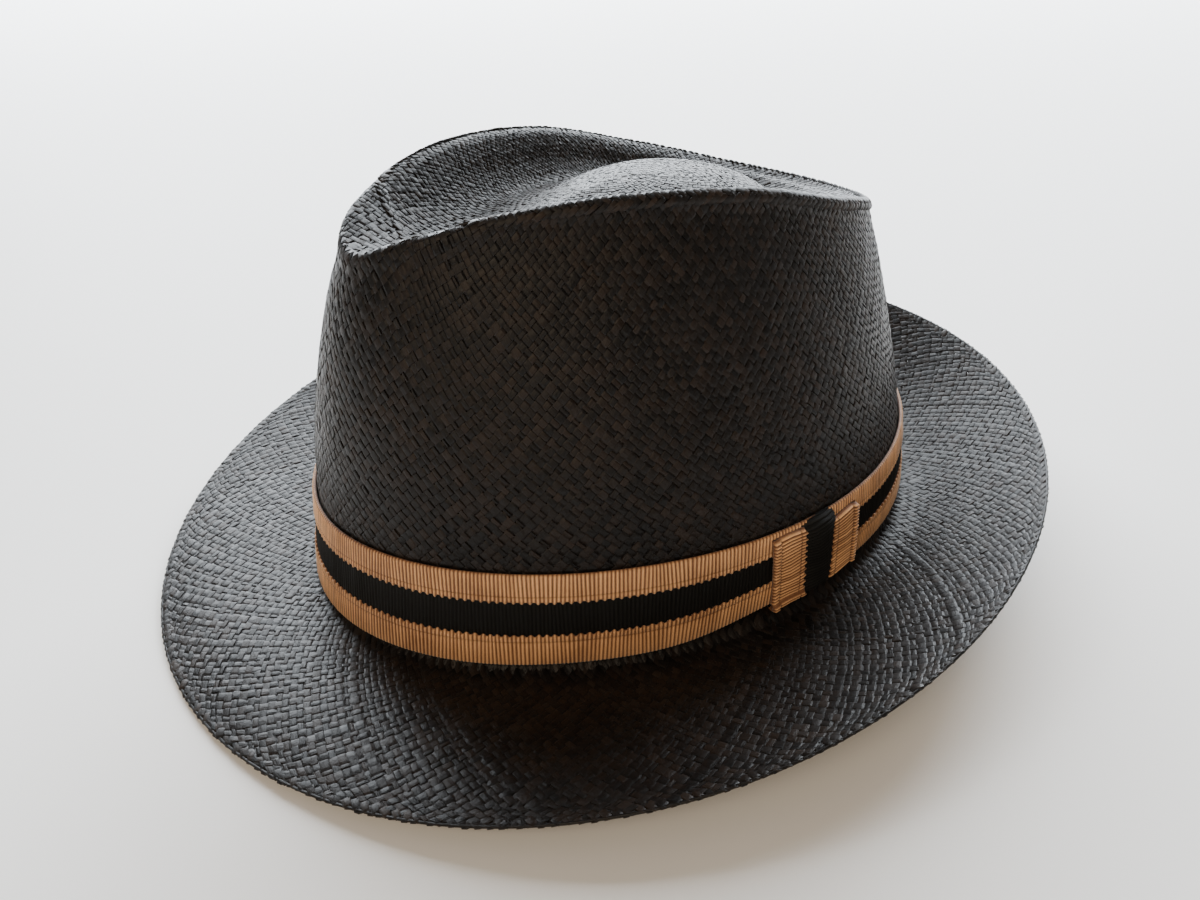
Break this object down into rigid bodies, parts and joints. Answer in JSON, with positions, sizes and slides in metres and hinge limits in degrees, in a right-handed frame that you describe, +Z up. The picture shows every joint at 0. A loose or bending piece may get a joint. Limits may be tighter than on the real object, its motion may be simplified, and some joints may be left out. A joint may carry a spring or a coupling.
{
  "type": "woven straw fedora hat with a ribbon band",
  "caption": "Black woven straw hat with a teardrop crown, a turned-up snap brim, a tan and black striped ribbon band and a flat ribbon keeper.",
  "frame": {"origin": "on the plane that the hat stands on, under the middle of the brim", "axes": "+Z up; -Y towards the front of the hat; +X towards the wearer's left, where the keeper is"},
  "size_m": [0.2733, 0.2928, 0.1186],
  "materials": {
    "straw": "satin",
    "black_ribbon": "matte",
    "tan_ribbon": "matte"
  },
  "bodies": {
    "root": {"straw_body": "straw", "ribbon_centre": "black_ribbon", "ribbon_lower": "tan_ribbon", "ribbon_upper": "tan_ribbon", "keeper_front": "tan_ribbon", "keeper_centre": "black_ribbon", "keeper_rear": "tan_ribbon"}
  },
  "joints": []
}
